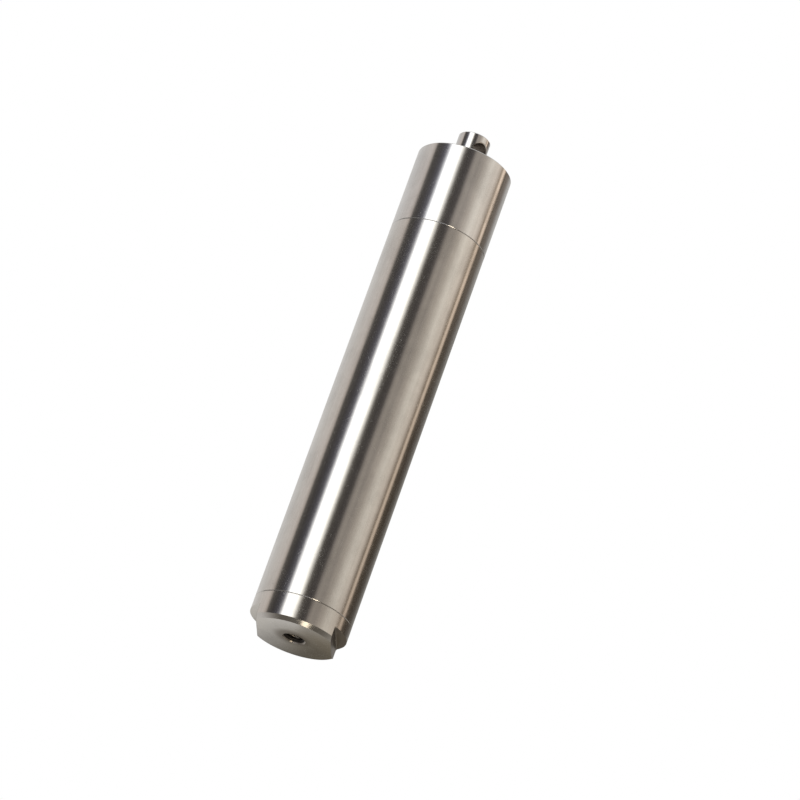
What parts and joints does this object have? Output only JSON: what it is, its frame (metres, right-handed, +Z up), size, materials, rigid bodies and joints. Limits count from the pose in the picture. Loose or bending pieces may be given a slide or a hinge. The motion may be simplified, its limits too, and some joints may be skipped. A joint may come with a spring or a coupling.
{
  "type": "temperature data logger",
  "caption": "Submersible stainless steel temperature data logger: sealed round housing, screw cap with a cross-drilled lanyard stud, and an end plug with wrench flats and a tapped foot hole.",
  "frame": {"origin": "centre of the end plug's flat bottom face, which the logger stands on", "axes": "+Z up along the housing's axis to the lanyard stud; the wrench flats face +X and -X"},
  "size_m": [0.0175, 0.0174, 0.1009],
  "materials": {
    "stainless_steel": "fine turned and polished stainless steel",
    "seal_rubber": "matt black sealing rubber",
    "foam": "closed-cell silicone foam",
    "sensor_ceramic": "fired ceramic with plated legs",
    "filled_resin": "filled casting resin",
    "lead_sleeve": "silicone lead insulation",
    "connector_plastic": "natural nylon",
    "carrier_plastic": "glass-filled moulded plastic",
    "cell_sleeve": "shrink sleeve on a steel can",
    "contact_metal": "plated spring strip",
    "board_laminate": "solder mask on laminate",
    "chip_package": "moulded chip package with tinned leads",
    "chip_ceramic": "ceramic chips with tinned ends",
    "crystal_can": "drawn can",
    "fastener_steel": "plain stainless fastener",
    "socket_plastic": "moulded socket body",
    "bezel_metal": "turned aluminium"
  },
  "bodies": {
    "housing": {"housing_tube": "stainless_steel", "end_plug": "stainless_steel", "neck_seal": "seal_rubber", "plug_seal_lower": "seal_rubber", "plug_seal_upper": "seal_rubber", "sensor_element": "sensor_ceramic", "sensor_epoxy": "filled_resin", "sensor_leads": "lead_sleeve", "sensor_plug": "connector_plastic", "sensor_header": "connector_plastic", "foam_pad": "foam", "carrier": "carrier_plastic", "battery_cell": "cell_sleeve", "contact_minus": "contact_metal", "contact_plus": "contact_metal", "circuit_board": "board_laminate", "board_screws": "fastener_steel", "microcontroller": "chip_package", "memory_chip": "chip_package", "converter_chip": "chip_package", "voltage_regulator": "chip_package", "transceiver_chip": "chip_package", "clock_crystal": "crystal_can", "reservoir_capacitor": "chip_package", "ceramic_capacitors": "chip_ceramic", "chip_resistors": "chip_ceramic", "interface_socket": "socket_plastic", "bezel": "bezel_metal", "bezel_gasket": "seal_rubber", "retaining_ring": "fastener_steel"},
    "cap": {"eyelet_cap": "stainless_steel"}
  },
  "joints": [
    {"name": "cap_lift", "type": "slide", "parent": "housing", "child": "cap", "axis": [0, 0, 1], "range_m": [0, 0.024]}
  ]
}
